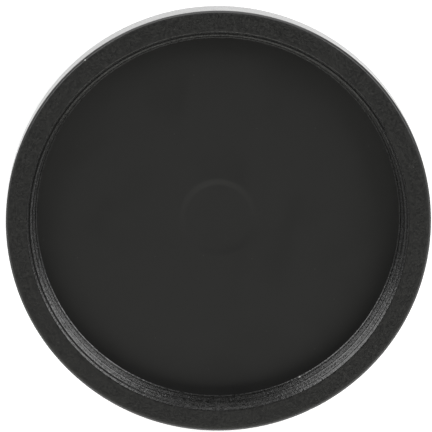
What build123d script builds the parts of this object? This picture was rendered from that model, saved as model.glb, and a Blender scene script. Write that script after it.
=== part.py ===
from build123d import *
import os
from math import radians, tan

os.makedirs("parts", exist_ok=True)

# A screw-on lens cap: one shallow moulded cup whose mouth turns onto an external filter thread.
# All sizes are in millimetres. The cap lies on its closed face with its mouth up, and its axis is Z.

# The mouth, which screws over a thread of this size. The bore is the thread's crest.
thread_diameter = 52.0
thread_pitch = 0.75
thread_length = 1.5
lip_clearance = 0.28
lead_in_length = 0.75
crest_radius = thread_diameter / 2 - 0.5413 * thread_pitch
lip_radius = thread_diameter / 2 + lip_clearance

# The wall below the thread steps in a hair and closes in towards the floor, so that it leaves the mould.
plain_wall_length = 1.75
wall_step = 0.06
foot_inset = 0.48
wall_top_radius = crest_radius - wall_step
foot_radius = crest_radius - foot_inset

# The floor of the cup, with a fine bead round its edge and a soft, low pad behind the gate.
floor_thickness = 2.5
bead_width = 0.34
bead_crown_width = 0.12
bead_height = 0.14
pad_diameter = 9.4
pad_edge_width = 1.5
pad_height = 0.12

# The outside: a wide flat rim with a chamfered outer edge, a smooth drafted wall and a rounded closed edge.
rim_width = 2.84
rim_edge_chamfer = 0.3
outer_draft_degrees = 0.5
closed_edge_radius = 0.8

# The moulding gate, which is sunk into the closed face so that its stub stays below it.
gate_well_diameter = 8.0
gate_well_depth = 0.35
gate_well_draft_degrees = 30.0
gate_stub_diameter = 1.6
gate_stub_height = 0.2

inner_depth = lead_in_length + thread_length + plain_wall_length
total_height = floor_thickness + inner_depth
thread_top = total_height - lead_in_length
thread_bottom = thread_top - thread_length
rim_radius = lip_radius + rim_width
closed_radius = rim_radius - total_height * tan(radians(outer_draft_degrees))
pad_radius = pad_diameter / 2
bead_inner_radius = foot_radius - bead_width
bead_middle_radius = foot_radius - bead_width / 2
bead_top = floor_thickness + bead_height

with BuildPart() as lens_cap:
    # Half of the cup's section, turned once round the axis. It runs from the middle of the closed face
    # out and up the outer wall, over the rim, down the mouth and back in along the floor.
    with BuildSketch(Plane.XZ) as section:
        with BuildLine() as outline:
            Polyline(
                (0, floor_thickness + pad_height),
                (0, 0),
                (closed_radius, 0),
                (rim_radius, total_height),
                (lip_radius, total_height),
                (crest_radius, thread_top),
                (crest_radius, thread_bottom),
                (wall_top_radius, thread_bottom),
                (foot_radius, floor_thickness),
                (bead_middle_radius + bead_crown_width / 2, bead_top),
                (bead_middle_radius - bead_crown_width / 2, bead_top),
                (bead_inner_radius, floor_thickness),
                (pad_radius, floor_thickness),
            )
            Spline(
                (pad_radius, floor_thickness),
                (pad_radius - pad_edge_width, floor_thickness + pad_height),
                tangents=((-1, 0), (-1, 0)),
            )
            Line(
                (pad_radius - pad_edge_width, floor_thickness + pad_height),
                (0, floor_thickness + pad_height),
            )
        make_face()
    revolve(axis=Axis.Z)

    # The closed face rolls up into the wall, and the rim's outer edge is chamfered.
    closed_edge = lens_cap.edges().filter_by(GeomType.CIRCLE).group_by(Axis.Z)[0]
    fillet(closed_edge, radius=closed_edge_radius)
    rim_edge = lens_cap.edges().filter_by(GeomType.CIRCLE).group_by(Axis.Z)[-1].sort_by(SortBy.RADIUS)[-1]
    chamfer(rim_edge, length=rim_edge_chamfer)

    # The gate well is a shallow tapered recess in the closed face, with the trimmed stub in its middle.
    with BuildSketch(Plane.XY) as gate_mouth:
        Circle(gate_well_diameter / 2)
    extrude(amount=gate_well_depth, taper=gate_well_draft_degrees, mode=Mode.SUBTRACT)
    with BuildSketch(Plane.XY.offset(gate_well_depth)) as gate_stub:
        Circle(gate_stub_diameter / 2)
    extrude(amount=-gate_stub_height)

lens_cap.part.label = "lens_cap"
export_step(lens_cap.part, "parts/lens_cap.step")
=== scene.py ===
from math import ceil, cos, pi, radians, sin, tan

import bpy
import numpy as np
from mathutils import Matrix, Vector


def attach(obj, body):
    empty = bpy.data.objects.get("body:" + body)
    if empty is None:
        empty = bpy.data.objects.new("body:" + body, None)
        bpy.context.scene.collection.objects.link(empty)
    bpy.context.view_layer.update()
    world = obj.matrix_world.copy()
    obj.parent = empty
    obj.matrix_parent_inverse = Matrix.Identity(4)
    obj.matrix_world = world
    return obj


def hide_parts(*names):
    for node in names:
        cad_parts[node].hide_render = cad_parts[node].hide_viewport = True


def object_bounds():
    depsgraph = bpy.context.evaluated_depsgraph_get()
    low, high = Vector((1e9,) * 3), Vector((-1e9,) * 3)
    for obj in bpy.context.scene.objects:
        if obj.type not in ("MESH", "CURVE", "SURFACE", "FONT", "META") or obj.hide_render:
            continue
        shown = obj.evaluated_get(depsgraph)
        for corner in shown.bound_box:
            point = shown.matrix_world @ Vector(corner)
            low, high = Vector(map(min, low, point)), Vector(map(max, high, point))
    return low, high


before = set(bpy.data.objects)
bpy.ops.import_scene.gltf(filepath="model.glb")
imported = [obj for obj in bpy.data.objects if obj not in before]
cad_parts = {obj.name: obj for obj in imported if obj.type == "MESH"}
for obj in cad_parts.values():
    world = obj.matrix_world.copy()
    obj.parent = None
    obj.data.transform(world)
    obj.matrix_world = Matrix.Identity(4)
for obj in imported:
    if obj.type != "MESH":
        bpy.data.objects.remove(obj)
cad_low, cad_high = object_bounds()

# A screw-on lens cap of black plastic, lying on its closed face with its threaded mouth up.
# Sizes are in metres, and mm turns millimetres into them. Angles round the axis run from +X towards +Y.
mm = 0.001
cap_height = cad_high.z
scene = bpy.context.scene
scene.view_settings.view_transform = "Standard"


# The camera stands a metre over the mouth and leans off the axis towards the top of the picture,
# so the lower wall of the cup shows inside and a sliver of the outer wall shows at the top.
camera_distance = 1000.0 * mm
camera_lean = radians(9.2)
camera_side = radians(96.0)
picture_width = 59.11 * mm
sensor_width = 36.0
aim_right = -0.347 * mm
aim_up = 0.82 * mm

toward_camera = Vector((
    sin(camera_lean) * cos(camera_side),
    sin(camera_lean) * sin(camera_side),
    cos(camera_lean),
))
picture_right = Vector((0.0, 1.0, 0.0)).cross(toward_camera).normalized()
picture_up = toward_camera.cross(picture_right).normalized()
camera_data = bpy.data.cameras.new("camera")
camera_data.sensor_width = sensor_width
camera_data.lens = sensor_width * camera_distance / picture_width
camera_data.clip_start = 0.01
camera_data.clip_end = 10.0
camera = bpy.data.objects.new("camera", camera_data)
scene.collection.objects.link(camera)
camera_aim = Vector((0.0, 0.0, cap_height)) + picture_right * aim_right + picture_up * aim_up
camera.location = camera_aim + toward_camera * camera_distance
camera.rotation_euler = Matrix((picture_right, picture_up, toward_camera)).transposed().to_euler()
scene.camera = camera


# The table is a plain white sheet. It shows white to the camera and in the gloss of the plastic,
# and keeps the soft shadow that the cap throws on it. It lies a hair under the cap's closed face.
table_half = 3.2
table_drop = 0.02 * mm
table_white = 0.82
glow_to_camera = 0.6
glow_to_gloss = 0.8

table_mesh = bpy.data.meshes.new("table")
table_corners = [(-1, -1), (1, -1), (1, 1), (-1, 1)]
table_points = [(x * table_half, y * table_half, -table_drop) for x, y in table_corners]
table_mesh.from_pydata(table_points, [], [(0, 1, 2, 3)])
table = bpy.data.objects.new("table", table_mesh)
scene.collection.objects.link(table)
table_paint = bpy.data.materials.new("white_table")
table_paint.use_nodes = True
nodes, links = table_paint.node_tree.nodes, table_paint.node_tree.links
nodes.clear()
paper = nodes.new("ShaderNodeBsdfDiffuse")
paper.inputs["Color"].default_value = (table_white, table_white, table_white, 1.0)
light_path = nodes.new("ShaderNodeLightPath")
camera_part = nodes.new("ShaderNodeMath")
camera_part.operation = "MULTIPLY"
camera_part.inputs[1].default_value = glow_to_camera
links.new(light_path.outputs["Is Camera Ray"], camera_part.inputs[0])
glow_level = nodes.new("ShaderNodeMath")
glow_level.operation = "MULTIPLY_ADD"
glow_level.inputs[1].default_value = glow_to_gloss
links.new(light_path.outputs["Is Glossy Ray"], glow_level.inputs[0])
links.new(camera_part.outputs[0], glow_level.inputs[2])
glow = nodes.new("ShaderNodeEmission")
links.new(glow_level.outputs[0], glow.inputs["Strength"])
both = nodes.new("ShaderNodeAddShader")
links.new(paper.outputs[0], both.inputs[0])
links.new(glow.outputs[0], both.inputs[1])
table_out = nodes.new("ShaderNodeOutputMaterial")
links.new(both.outputs[0], table_out.inputs["Surface"])
table_mesh.materials.append(table_paint)


# A low white card stands in a ring round the table, as the sweep of a studio table does. It gives the
# rolled edges of the plastic a pale horizon to reflect.
card_radius = 3.0
card_height = 0.77
card_sides = 96

card_angle = np.linspace(0.0, 2 * pi, card_sides + 1)[:-1]
card_x = card_radius * np.cos(card_angle)
card_y = card_radius * np.sin(card_angle)
card_foot = np.stack([card_x, card_y, np.zeros(card_sides)], axis=1)
card_head = card_foot + np.array([0.0, 0.0, card_height])
foot_ids = np.arange(card_sides)
next_ids = np.roll(foot_ids, -1)
card_faces = np.stack([next_ids, foot_ids, foot_ids + card_sides, next_ids + card_sides], axis=1)
card_mesh = bpy.data.meshes.new("card")
card_mesh.from_pydata(np.concatenate([card_foot, card_head]).tolist(), [], card_faces.tolist())
card_mesh.materials.append(table_paint)
card = bpy.data.objects.new("card", card_mesh)
scene.collection.objects.link(card)


# The light is a dim white room with soft lamps: a broad box high over the lower side of the picture, two
# strong upright boxes at the upper left and upper right, a narrow screen at either side, and a small box, a
# card and a long low strip one over the other along the top.
room_level = 0.06
world = bpy.data.worlds.new("room")
world.use_nodes = True
world.node_tree.nodes["Background"].inputs["Color"].default_value = (1.0, 1.0, 1.0, 1.0)
world.node_tree.nodes["Background"].inputs["Strength"].default_value = room_level
scene.world = world


def add_lamp(name, side, height, distance, wide, tall, level, colour=(1.0, 1.0, 1.0)):
    """A rectangular lamp that faces the cap, placed by two angles in degrees and a distance. Its level is the
    brightness of its face, so its power is level times pi times its area."""
    lamp_data = bpy.data.lights.new(name, "AREA")
    lamp_data.shape = "RECTANGLE"
    lamp_data.size = wide
    lamp_data.size_y = tall
    lamp_data.energy = level * pi * wide * tall
    lamp_data.color = colour
    lamp = bpy.data.objects.new(name, lamp_data)
    scene.collection.objects.link(lamp)
    side, height = radians(side), radians(height)
    away = Vector((cos(height) * cos(side), cos(height) * sin(side), sin(height)))
    across = Vector((-sin(side), cos(side), 0.0))
    lamp.location = away * distance
    lamp.rotation_euler = Matrix((across, away.cross(across), away)).transposed().to_euler()


soft_box_colour = (1.0, 1.0, 0.94)
add_lamp(
    "soft_box", side=-90, height=43, distance=0.8, wide=1.30, tall=0.54, level=2.02, colour=soft_box_colour,
)
add_lamp("left_screen", side=191, height=36, distance=0.8, wide=0.45, tall=0.16, level=2.0)
add_lamp("right_screen", side=-11, height=36, distance=0.8, wide=0.45, tall=0.16, level=3.2)
add_lamp("left_box", side=142, height=28, distance=0.8, wide=0.52, tall=0.44, level=5.3)
add_lamp("right_box", side=35, height=28, distance=0.8, wide=0.58, tall=0.44, level=6.3)
add_lamp("top_box", side=92, height=50, distance=0.8, wide=0.42, tall=0.12, level=2.6)
add_lamp("top_card", side=92, height=14, distance=0.8, wide=0.42, tall=0.05, level=1.7)
add_lamp("top_strip", side=92, height=5, distance=0.9, wide=1.20, tall=0.12, level=2.4)


# The cap is one moulding of black plastic: a shallow cup with a wide flat rim, whose mouth has a lead-in
# chamfer and a fine internal thread. The thread's ridge starts blunt just under the chamfer and winds
# clockwise down the wall, and a fine bead runs round the cup's floor.
thread_pitch = 0.75 * mm
root_radius = 25.87 * mm
ridge_height = 0.37 * mm
ridge_base = 0.92 * thread_pitch
ridge_crown = 0.18 * thread_pitch
ridge_crown_softness = 0.10
ridge_hollow = 1.8
ridge_flank = (ridge_base - ridge_crown) / 2
ridge_start_angle = radians(30.5)
ridge_start_length = 0.006
ridge_turns = 2.1
ridge_fade_turns = 0.12
ridge_sunk_heights = 3.0
ridge_first_top = cap_height - 0.12 * mm
lead_bottom = cap_height - 0.50 * mm
lead_slope = 0.50
chamfer_bottom = cap_height - 0.24 * mm
chamfer_slope = 1.10
wall_top = cap_height - 2.25 * mm
wall_top_radius = 25.45 * mm
wall_foot_radius = 25.114 * mm
run_back_slope = 1.45
cup_floor = cap_height - 4.0 * mm
zone_top = cap_height - 0.05 * mm
zone_bottom = cap_height - 2.30 * mm
crest_burr = 0.010 * mm
crest_burr_from = 0.6
start_columns = 6
turn_columns = 480

column_turns = np.concatenate([
    np.linspace(0.0, ridge_start_length, start_columns + 1)[:-1],
    np.linspace(ridge_start_length, 1.0, turn_columns + 1)[:-1],
])
column_angle = ridge_start_angle - 2 * pi * column_turns
random = np.random.default_rng(7)


def smooth_step(value):
    """Zero below 0, one above 1, and 3v squared less 2v cubed between."""
    v = np.clip(value, 0.0, 1.0)
    return v * v * (3.0 - 2.0 * v)


def softly_limited(value, limit, softness):
    """The smaller of value and limit, with the corner between them rounded off: half of their sum less the
    square root of their squared difference plus a small square."""
    return 0.5 * (value + limit - np.sqrt((value - limit) ** 2 + softness ** 2))


def wall_slope_radius(height):
    """The drafted wall: it goes straight from its foot to its top, and above the top it runs back steeply
    into the thread's last groove."""
    draft = (wall_top_radius - wall_foot_radius) / (wall_top - cup_floor)
    above = np.maximum(height - wall_top, 0.0)
    return wall_top_radius + draft * np.minimum(height - wall_top, 0.0) + above * run_back_slope


def mouth_radius(turns, height):
    """The mouth's radius at a number of turns from the thread's start and a height. It is the smallest of
    three surfaces: the chamfer and the steep lead over the thread's root, the drafted wall, and for each
    turn the ridge, whose middle sinks by one pitch a turn and whose flanks are hollow: its rise is the
    distance in from its edge over the flank's width, limited at one, to the power of the hollow. Before
    its start and past its end the ridge is sunk into the plastic by a few of its heights."""
    surface = root_radius + np.maximum(height - lead_bottom, 0.0) * lead_slope
    surface = surface + np.maximum(height - chamfer_bottom, 0.0) * (chamfer_slope - lead_slope)
    surface = np.minimum(surface, wall_slope_radius(height))
    for turn in range(ceil(ridge_turns + ridge_fade_turns) + 1):
        along = turns + turn
        middle = ridge_first_top - ridge_base / 2 - thread_pitch * along
        rise = (ridge_base / 2 - np.abs(height - middle)) / ridge_flank
        rise = softly_limited(rise, 1.0, ridge_crown_softness)
        rise = np.where(rise > 0.0, np.abs(rise) ** ridge_hollow, rise)
        there = smooth_step(along / ridge_start_length)
        there = there * (1.0 - smooth_step((along - ridge_turns) / ridge_fade_turns))
        rise = rise - ridge_sunk_heights * (1.0 - there)
        surface = np.minimum(surface, root_radius - ridge_height * rise)
    return surface


# The rows of the thread lie closest together on the ridge's flanks. Each is given by its height over the
# middle of a ridge, and by the height at which it sets out at the thread's start.
half_pitch = thread_pitch / 2
pitches_each_way = 3
highest_start = zone_top + 1.9 * thread_pitch
lowest_start = zone_bottom - thread_pitch
ridge_offsets = np.array([
    1.0, 0.92, 0.80, 0.68, 0.57, 0.47, 0.38, 0.31, 0.26, 0.22, 0.18, 0.14, 0.07,
]) * half_pitch
pitch_offsets = np.concatenate([ridge_offsets, [0.0], -ridge_offsets[:0:-1]])
rows_per_pitch = len(pitch_offsets)
pitch_numbers = np.arange(pitches_each_way, -pitches_each_way - 1, -1)
ridge_middles = ridge_first_top - ridge_base / 2 + thread_pitch * pitch_numbers
row_start = (ridge_middles[:, None] + pitch_offsets[None, :]).ravel()
row_start = row_start[(row_start < highest_start) & (row_start > lowest_start)]

ring_points = []
point_total = 0
faces_of_four = []
faces_of_three = []
FLOOR, WALL, THREAD, RIM, OUTSIDE = range(5)


def add_ring(radius, height):
    """One ring of points round the axis, at a radius and height that may change with the angle."""
    global point_total
    x = radius * np.cos(column_angle)
    y = radius * np.sin(column_angle)
    z = np.broadcast_to(height, column_angle.shape)
    ring_points.append(np.stack([x, y, z], axis=1))
    ids = point_total + np.arange(len(column_angle))
    point_total += len(column_angle)
    return ids


def add_band(rings, finish):
    """Joins a run of rings with four-sided faces of one finish, wound so that they face out of the plastic."""
    for upper, lower in zip(rings[:-1], rings[1:]):
        band = np.stack([upper, np.roll(upper, -1), np.roll(lower, -1), lower], axis=1)
        faces_of_four.append((band, finish))


# The cup's floor: a very shallow round dish in the middle, the flat, and the bead at the foot of the wall,
# given in millimetres in from the wall and up from the floor. Over it the wall has fine steps from turning.
dish_radius = 5.5 * mm
dish_edge = 1.2 * mm
dish_depth = 0.10 * mm
dish_ring_radii = (1.2, 3.0)
floor_ring_radii = (5.6, 9.0, 16.0, 22.0, 24.5)
step_count = 11
lowest_step = 0.24
highest_step = 1.66
step_scatter = 0.012
tread_share = 0.135

floor_profile = [(r * mm, cup_floor - dish_depth) for r in dish_ring_radii]
floor_profile += [
    (dish_radius - dish_edge * (1 - s), cup_floor - dish_depth * (1 - smooth_step(s)))
    for s in np.linspace(0.0, 1.0, 8)
]
floor_profile += [(r * mm, cup_floor) for r in floor_ring_radii]
floor_rings = [add_ring(radius, height) for radius, height in floor_profile]
bead_section = [
    (0.270, 0.000), (0.232, 0.038), (0.196, 0.076), (0.166, 0.104), (0.140, 0.122), (0.115, 0.131),
    (0.090, 0.133), (0.066, 0.128), (0.044, 0.126), (0.024, 0.142), (0.008, 0.178), (0.000, 0.230),
]
bead_rings = [
    add_ring(wall_slope_radius(cup_floor + up * mm) - inward * mm, cup_floor + up * mm)
    for inward, up in bead_section
]
add_band(floor_rings + bead_rings[:1], FLOOR)
add_band(bead_rings, THREAD)
step_heights = np.linspace(lowest_step, highest_step, step_count + 1) * mm
step_heights[1:-1] += random.uniform(-step_scatter, step_scatter, step_count - 1) * mm
wall_rings = [bead_rings[-1]]
for step_foot, step_head in zip(step_heights[:-1], step_heights[1:]):
    tread = tread_share * (step_head - step_foot)
    step_radius = wall_slope_radius(cup_floor + step_foot)
    wall_rings.append(add_ring(step_radius, cup_floor + step_foot))
    wall_rings.append(add_ring(step_radius, cup_floor + step_head - tread))
zone_foot = add_ring(mouth_radius(column_turns, zone_bottom), zone_bottom)
add_band(wall_rings + [zone_foot], WALL)

# The thread's rows follow the ridge down. A row that has sunk out of the zone, or hasn't reached it yet,
# lies on the zone's lower or upper ring, and one turn on each row meets the row one pitch below it.
zone_head = add_ring(mouth_radius(column_turns, zone_top), zone_top)
row_height = row_start[:, None] - thread_pitch * column_turns[None, :]
snap = 0.004 * mm
over = row_height > zone_top - snap
under = row_height < zone_bottom + snap
inside = ~over & ~under
row_ids = np.where(over, zone_head[None, :], zone_foot[None, :])
row_ids[inside] = point_total + np.arange(inside.sum())
point_total += int(inside.sum())
thread_height = row_height[inside]
thread_turns = np.broadcast_to(column_turns, row_height.shape)[inside]
thread_angle = np.broadcast_to(column_angle, row_height.shape)[inside]
thread_radius = mouth_radius(thread_turns, thread_height)
burr_bottom = wall_top + 0.1 * mm
burr = random.normal(0.0, 1.0, len(column_turns))
burr = np.broadcast_to(burr, row_height.shape)[inside]
near_crest = (root_radius - thread_radius) / ridge_height
near_crest = np.clip((near_crest - crest_burr_from) / (1.0 - crest_burr_from), 0.0, 1.0)
near_crest = near_crest * (thread_height > burr_bottom)
thread_radius = thread_radius + crest_burr * burr * near_crest
ring_points.append(np.stack([
    thread_radius * np.cos(thread_angle), thread_radius * np.sin(thread_angle), thread_height,
], axis=1))
last_ids = np.concatenate([row_ids[rows_per_pitch:, 0], np.full(rows_per_pitch, zone_foot[0])])
row_ids = np.concatenate([row_ids, last_ids[:, None]], axis=1)
here, below = row_ids[:-1, :-1], row_ids[1:, :-1]
here_next, below_next = row_ids[:-1, 1:], row_ids[1:, 1:]
whole = (here != below) & (here_next != below_next)
opening = (here == below) & (here_next != below_next)
closing = (here != below) & (here_next == below_next)
faces_of_four.append((np.stack([below, below_next, here_next, here], axis=-1)[whole], THREAD))
faces_of_three.append((np.stack([below, below_next, here_next], axis=-1)[opening], THREAD))
faces_of_three.append((np.stack([below, below_next, here], axis=-1)[closing], THREAD))

# The rim: its inner edge is rolled a little into the lead-in, and its outer edge has a small chamfer,
# rounded where it meets the rim and the outer wall, with a few small nicks from knocks. The roll is given
# in millimetres out from the lead-in and down from the rim, and each nick as its place round the axis and
# its half width in degrees, and its depth in millimetres.
rim_outer_radius = 29.12 * mm
rim_chamfer = 0.3 * mm
rim_chamfer_round = 0.03 * mm
rim_chamfer_rings = 11
rim_ring_radii = (26.6, 27.5, 28.4)
outer_draft = radians(0.5)
lip_roll = [(0.030, 0.028), (0.066, 0.009), (0.120, 0.0)]
nick_places = [
    (131.0, 0.55, 0.050),
    (118.5, 0.30, 0.022),
    (146.0, 0.35, 0.026),
    (57.0, 0.30, 0.020),
    (-64.0, 0.45, 0.030),
]

draft = tan(outer_draft)
head_radius = mouth_radius(column_turns, zone_top)
lip_rings = [zone_head]
lip_rings += [add_ring(head_radius + out * mm, cap_height - down * mm) for out, down in lip_roll]
add_band(lip_rings, THREAD)


def chamfer_profile(reach, roll, rings):
    """A chamfer of equal legs with its two edges rolled: distance in from the outer wall and down from the
    rim. Each is the leg softly limited at zero, as the place runs along the chamfer."""
    place = np.linspace(-reach - roll, reach + roll, rings) / 2
    inward = reach / 2 - place
    down = reach / 2 + place
    return (
        0.5 * (inward + np.sqrt(inward ** 2 + (roll / 2) ** 2)) - roll ** 2 / 8 / (reach + roll),
        0.5 * (down + np.sqrt(down ** 2 + (roll / 2) ** 2)) - roll ** 2 / 8 / (reach + roll),
    )


edge_inward, edge_down = chamfer_profile(rim_chamfer, rim_chamfer_round, rim_chamfer_rings)
edge_inward = np.maximum(edge_inward, 0.0)
edge_down = np.maximum(edge_down - edge_down[0], 0.0)
rim_rings = [lip_rings[-1]] + [add_ring(r * mm, cap_height) for r in rim_ring_radii]
nick_depth = np.zeros_like(column_angle)
for side, half_width, depth in nick_places:
    turned = np.degrees(column_angle) - side
    turned = (turned + 180.0) % 360.0 - 180.0
    nick_depth += depth * mm * np.exp(-(turned / half_width) ** 2)
edge_rings = [
    add_ring(rim_outer_radius - draft * down - inward - nick_depth, cap_height - down)
    for inward, down in zip(edge_inward, edge_down)
]
add_band(rim_rings + edge_rings[:1], RIM)
add_band(edge_rings, OUTSIDE)

# The outside: the drafted wall, the rounded closed edge, and the closed face with its gate well. The
# trimmed stub of the gate stands in the well and stays below the face.
closed_edge_radius = 0.8 * mm
outer_ring_depths = np.array([0.5, 2.0, 4.0, 5.5]) * mm
well_depth = 0.35
stub_top = 0.15
closed_face_profile = [(20.0, 0.0), (4.1, 0.0)]
well_profile = [(4.0, 0.0), (3.798, well_depth), (3.7, well_depth), (0.85, well_depth), (0.8, well_depth)]
stub_profile = [(0.8, stub_top + 0.02), (0.76, stub_top), (0.4, stub_top)]

closed_radius = rim_outer_radius - cap_height * draft
outer_rings = [add_ring(rim_outer_radius - depth * draft, cap_height - depth) for depth in outer_ring_depths]
closed_middle = closed_radius - closed_edge_radius
outer_rings += [
    add_ring(closed_middle + closed_edge_radius * cos(s), closed_edge_radius * (1 - sin(s)))
    for s in np.linspace(outer_draft, pi / 2, 9)
]
well_rings = [add_ring(r * mm, h * mm) for r, h in closed_face_profile + well_profile + stub_profile]
add_band([edge_rings[-1]] + outer_rings + well_rings, OUTSIDE)

pole_ids = point_total + np.arange(2)
ring_points.append(np.array([[0.0, 0.0, cup_floor - dish_depth], [0.0, 0.0, stub_top * mm]]))
inner_ring, outer_ring = floor_rings[0], well_rings[-1]
inner_fan = np.stack([np.full_like(inner_ring, pole_ids[0]), np.roll(inner_ring, -1), inner_ring], axis=1)
outer_fan = np.stack([np.full_like(outer_ring, pole_ids[1]), outer_ring, np.roll(outer_ring, -1)], axis=1)
faces_of_three.append((inner_fan, FLOOR))
faces_of_three.append((outer_fan, OUTSIDE))

sharp_edge_angle = radians(38.0)
cap_mesh = bpy.data.meshes.new("lens_cap_shell")
all_faces = faces_of_four + faces_of_three
face_corners = [face for part, _ in all_faces for face in part.tolist()]
face_finish = np.concatenate([np.full(len(part), finish) for part, finish in all_faces])
cap_mesh.from_pydata(np.concatenate(ring_points).tolist(), [], face_corners)
cap_mesh.polygons.foreach_set("material_index", face_finish.astype(np.int32))
cap_mesh.polygons.foreach_set("use_smooth", np.ones(len(cap_mesh.polygons), dtype=bool))
cap_mesh.set_sharp_from_angle(angle=sharp_edge_angle)
cap_mesh.update()
cap = bpy.data.objects.new("lens_cap_shell", cap_mesh)
scene.collection.objects.link(cap)

# The plastic is one black, but the mould gives each face its own finish: a very fine matte on the cup's
# floor, a coarser one on the rim, drawn grain from turning on the wall and thread, and a smoother outside.
# Two effects make all of them, and each is a node group that every material gives its own values.


def add_sockets(group, direction, sockets):
    """Adds named sockets to a group's interface: a name, a kind and a starting value for each."""
    for name, kind, value in sockets:
        socket = group.interface.new_socket(name=name, in_out=direction, socket_type=kind)
        if value is not None:
            socket.default_value = value


def add_math(nodes, links, operation, *values):
    """A math node whose inputs are sockets or numbers, in their order. It gives back its output socket."""
    node = nodes.new("ShaderNodeMath")
    node.operation = operation
    for place, value in enumerate(values):
        if isinstance(value, (int, float)):
            node.inputs[place].default_value = value
        else:
            links.new(value, node.inputs[place])
    return node.outputs[0]


# Moulded grain: fine noise that can be drawn out round the cap's axis, with soft clouds in the colour. The
# drawn noise reads its place round the axis on a small circle, so that it changes slowly that way.
drawn_circle = 3.5 * mm
clouds_per_metre = 420.0

grain = bpy.data.node_groups.new("moulded_grain", "ShaderNodeTree")
add_sockets(grain, "INPUT", [
    ("Colour", "NodeSocketColor", (0.004, 0.004, 0.004, 1.0)), ("Cloudiness", "NodeSocketFloat", 0.1),
    ("Roughness", "NodeSocketFloat", 0.5), ("Roughness Change", "NodeSocketFloat", 0.05),
    ("Grains per Metre", "NodeSocketFloat", 8000.0), ("Drawn Out", "NodeSocketFloat", 0.0),
    ("Depth", "NodeSocketFloat", 0.000002), ("Contrast", "NodeSocketFloat", 0.0),
])
add_sockets(grain, "OUTPUT", [
    ("Colour", "NodeSocketColor", None), ("Roughness", "NodeSocketFloat", None),
    ("Height", "NodeSocketFloat", None),
])
nodes, links = grain.nodes, grain.links
given = nodes.new("NodeGroupInput").outputs
taken = nodes.new("NodeGroupOutput").inputs
place = nodes.new("ShaderNodeTexCoord").outputs["Object"]
split = nodes.new("ShaderNodeSeparateXYZ")
links.new(place, split.inputs[0])
flat = nodes.new("ShaderNodeCombineXYZ")
links.new(split.outputs["X"], flat.inputs["X"])
links.new(split.outputs["Y"], flat.inputs["Y"])
reach = nodes.new("ShaderNodeVectorMath")
reach.operation = "LENGTH"
links.new(flat.outputs[0], reach.inputs[0])
outward = nodes.new("ShaderNodeVectorMath")
outward.operation = "NORMALIZE"
links.new(flat.outputs[0], outward.inputs[0])
round_axis = nodes.new("ShaderNodeVectorMath")
round_axis.operation = "SCALE"
round_axis.inputs["Scale"].default_value = drawn_circle
links.new(outward.outputs[0], round_axis.inputs[0])
up_axis = nodes.new("ShaderNodeCombineXYZ")
links.new(split.outputs["Z"], up_axis.inputs["Z"])
drawn_place = nodes.new("ShaderNodeVectorMath")
drawn_place.operation = "ADD"
links.new(round_axis.outputs[0], drawn_place.inputs[0])
links.new(up_axis.outputs[0], drawn_place.inputs[1])
even_noise = nodes.new("ShaderNodeTexNoise")
even_noise.inputs["Detail"].default_value = 2.0
even_noise.inputs["Roughness"].default_value = 0.6
links.new(place, even_noise.inputs["Vector"])
links.new(given["Grains per Metre"], even_noise.inputs["Scale"])
drawn_noise = nodes.new("ShaderNodeTexNoise")
drawn_noise.noise_dimensions = "4D"
drawn_noise.inputs["Detail"].default_value = 2.0
drawn_noise.inputs["Roughness"].default_value = 0.6
links.new(drawn_place.outputs[0], drawn_noise.inputs["Vector"])
links.new(reach.outputs["Value"], drawn_noise.inputs["W"])
links.new(given["Grains per Metre"], drawn_noise.inputs["Scale"])
both_noises = nodes.new("ShaderNodeMix")
links.new(given["Drawn Out"], both_noises.inputs[0])
links.new(even_noise.outputs[0], both_noises.inputs[2])
links.new(drawn_noise.outputs[0], both_noises.inputs[3])
swing = add_math(nodes, links, "MULTIPLY_ADD", both_noises.outputs[0], 2.0, -1.0)
clouds = nodes.new("ShaderNodeTexNoise")
clouds.inputs["Scale"].default_value = clouds_per_metre
clouds.inputs["Detail"].default_value = 3.0
links.new(place, clouds.inputs["Vector"])
cloud_swing = add_math(nodes, links, "MULTIPLY_ADD", clouds.outputs[0], 2.0, -1.0)
cloud_shade = add_math(nodes, links, "MULTIPLY_ADD", cloud_swing, given["Cloudiness"], 1.0)
grain_shade = add_math(nodes, links, "MULTIPLY_ADD", swing, given["Contrast"], cloud_shade)
shade = add_math(nodes, links, "MAXIMUM", grain_shade, 0.0)
tinted = nodes.new("ShaderNodeVectorMath")
tinted.operation = "SCALE"
links.new(given["Colour"], tinted.inputs[0])
links.new(shade, tinted.inputs["Scale"])
links.new(tinted.outputs[0], taken["Colour"])
grain_roughness = add_math(nodes, links, "MULTIPLY_ADD", swing, given["Roughness Change"], given["Roughness"])
links.new(grain_roughness, taken["Roughness"])
links.new(add_math(nodes, links, "MULTIPLY", swing, given["Depth"]), taken["Height"])

# Handling marks: scattered specks, each a tiny pit with a paler, rougher bottom, faint rubbed patches that
# are a little smoother than the rest, and one chip where a knock has paled the plastic.
patches_per_metre = 160.0
patch_from, patch_to = 0.52, 0.70
pit_depth = 0.004 * mm
pit_roughness = 0.2

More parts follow.
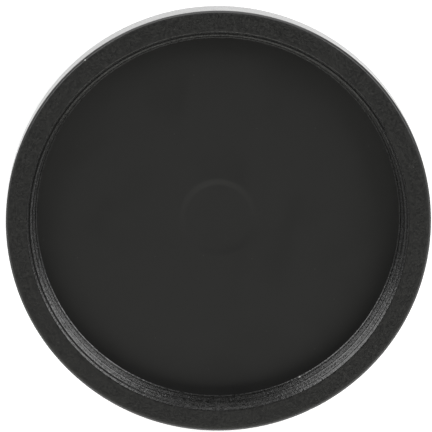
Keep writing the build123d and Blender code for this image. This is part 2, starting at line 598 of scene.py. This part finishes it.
marks = bpy.data.node_groups.new("handling_marks", "ShaderNodeTree")
add_sockets(marks, "INPUT", [
    ("Colour", "NodeSocketColor", (0.004, 0.004, 0.004, 1.0)), ("Roughness", "NodeSocketFloat", 0.5),
    ("Height", "NodeSocketFloat", 0.0), ("Specks per Metre", "NodeSocketFloat", 1500.0),
    ("Share", "NodeSocketFloat", 0.1), ("Speck Size", "NodeSocketFloat", 0.15),
    ("Speck Colour", "NodeSocketColor", (0.03, 0.03, 0.028, 1.0)), ("Rubbed", "NodeSocketFloat", 0.05),
    ("Chip Place", "NodeSocketVector", (0.0, 0.0, 0.0)), ("Chip Size", "NodeSocketFloat", 0.0001),
    ("Chip Colour", "NodeSocketColor", (0.35, 0.35, 0.34, 1.0)),
])
add_sockets(marks, "OUTPUT", [
    ("Colour", "NodeSocketColor", None), ("Roughness", "NodeSocketFloat", None),
    ("Height", "NodeSocketFloat", None),
])
nodes, links = marks.nodes, marks.links
given = nodes.new("NodeGroupInput").outputs
taken = nodes.new("NodeGroupOutput").inputs
place = nodes.new("ShaderNodeTexCoord").outputs["Object"]
cells = nodes.new("ShaderNodeTexVoronoi")
links.new(place, cells.inputs["Vector"])
links.new(given["Specks per Metre"], cells.inputs["Scale"])
cell_colour = nodes.new("ShaderNodeSeparateColor")
links.new(cells.outputs["Color"], cell_colour.inputs[0])
chosen = add_math(nodes, links, "LESS_THAN", cell_colour.outputs[0], given["Share"])
near = add_math(nodes, links, "LESS_THAN", cells.outputs["Distance"], given["Speck Size"])
speck = add_math(nodes, links, "MULTIPLY", chosen, near)
speck_paint = nodes.new("ShaderNodeMix")
speck_paint.data_type = "RGBA"
links.new(speck, speck_paint.inputs[0])
links.new(given["Colour"], speck_paint.inputs[6])
links.new(given["Speck Colour"], speck_paint.inputs[7])
chip_reach = nodes.new("ShaderNodeVectorMath")
chip_reach.operation = "DISTANCE"
links.new(place, chip_reach.inputs[0])
links.new(given["Chip Place"], chip_reach.inputs[1])
chip = add_math(nodes, links, "LESS_THAN", chip_reach.outputs["Value"], given["Chip Size"])
chip_paint = nodes.new("ShaderNodeMix")
chip_paint.data_type = "RGBA"
links.new(chip, chip_paint.inputs[0])
links.new(speck_paint.outputs[2], chip_paint.inputs[6])
links.new(given["Chip Colour"], chip_paint.inputs[7])
links.new(chip_paint.outputs[2], taken["Colour"])
patches = nodes.new("ShaderNodeTexNoise")
patches.inputs["Scale"].default_value = patches_per_metre
patches.inputs["Detail"].default_value = 4.0
links.new(place, patches.inputs["Vector"])
worn = nodes.new("ShaderNodeMapRange")
worn.interpolation_type = "SMOOTHSTEP"
worn.inputs["From Min"].default_value = patch_from
worn.inputs["From Max"].default_value = patch_to
links.new(patches.outputs[0], worn.inputs["Value"])
smoothed = add_math(nodes, links, "MULTIPLY", worn.outputs["Result"], given["Rubbed"])
rough_left = add_math(nodes, links, "SUBTRACT", given["Roughness"], smoothed)
links.new(add_math(nodes, links, "MULTIPLY_ADD", speck, pit_roughness, rough_left), taken["Roughness"])
links.new(add_math(nodes, links, "MULTIPLY_ADD", speck, -pit_depth, given["Height"]), taken["Height"])

plastic_colour = (0.004, 0.004, 0.0036, 1.0)
cloudiness = 0.25
rubbed = 0.03
chip_size = 0.13 * mm
edge_chip_radius, edge_chip_side = 28.88 * mm, radians(129.1)
bead_chip_radius, bead_chip_side = 24.93 * mm, radians(-63.2)
edge_chip = (edge_chip_radius * cos(edge_chip_side), edge_chip_radius * sin(edge_chip_side), cap_height)
bead_chip = (
    bead_chip_radius * cos(bead_chip_side), bead_chip_radius * sin(bead_chip_side), cup_floor + 0.12 * mm,
)
no_chip = (0.0, 0.0, 0.0)
finishes = [
    ("cup_floor", dict(
        rough=0.52, change=0.03, contrast=0.6, grains=4000,
        drawn_out=0.3, depth=0.000003, share=0.02, chip=no_chip,
    )),
    ("cup_wall", dict(
        rough=0.25, change=0.20, contrast=1.5, grains=3200,
        drawn_out=0.2, depth=0.000060, share=0.03, chip=no_chip,
    )),
    ("thread", dict(
        rough=0.25, change=0.16, contrast=1.5, grains=3200,
        drawn_out=0.2, depth=0.000036, share=0.03, chip=bead_chip,
    )),
    ("cap_rim", dict(
        rough=0.52, change=0.16, contrast=4.0, grains=3600,
        drawn_out=0.0, depth=0.000024, share=0.03, chip=edge_chip,
    )),
    ("cap_outside", dict(
        rough=0.20, change=0.03, contrast=1.0, grains=3000,
        drawn_out=0.2, depth=0.000001, share=0.04, chip=edge_chip,
    )),
]
for name, finish in finishes:
    paint = bpy.data.materials.new(name)
    paint.use_nodes = True
    nodes, links = paint.node_tree.nodes, paint.node_tree.links
    shader = nodes["Principled BSDF"]
    grain_node = nodes.new("ShaderNodeGroup")
    grain_node.node_tree = grain
    grain_node.inputs["Colour"].default_value = plastic_colour
    grain_node.inputs["Cloudiness"].default_value = cloudiness
    grain_node.inputs["Roughness"].default_value = finish["rough"]
    grain_node.inputs["Roughness Change"].default_value = finish["change"]
    grain_node.inputs["Grains per Metre"].default_value = finish["grains"]
    grain_node.inputs["Drawn Out"].default_value = finish["drawn_out"]
    grain_node.inputs["Depth"].default_value = finish["depth"]
    grain_node.inputs["Contrast"].default_value = finish["contrast"]
    marks_node = nodes.new("ShaderNodeGroup")
    marks_node.node_tree = marks
    marks_node.inputs["Share"].default_value = finish["share"]
    marks_node.inputs["Rubbed"].default_value = rubbed
    marks_node.inputs["Chip Place"].default_value = finish["chip"]
    marks_node.inputs["Chip Size"].default_value = chip_size
    for socket in ("Colour", "Roughness", "Height"):
        links.new(grain_node.outputs[socket], marks_node.inputs[socket])
    bump = nodes.new("ShaderNodeBump")
    bump.inputs["Strength"].default_value = 1.0
    bump.inputs["Distance"].default_value = 1.0
    links.new(marks_node.outputs["Height"], bump.inputs["Height"])
    links.new(marks_node.outputs["Colour"], shader.inputs["Base Color"])
    links.new(marks_node.outputs["Roughness"], shader.inputs["Roughness"])
    links.new(bump.outputs["Normal"], shader.inputs["Normal"])
    if name == "cup_wall":
        shader.inputs["Anisotropic"].default_value = 0.5
        shader.inputs["Anisotropic Rotation"].default_value = 0.25
        grooves = nodes.new("ShaderNodeTangent")
        grooves.direction_type = "RADIAL"
        grooves.axis = "Z"
        links.new(grooves.outputs["Tangent"], shader.inputs["Tangent"])
    cap_mesh.materials.append(paint)

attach(cap, "root")
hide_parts("lens_cap")
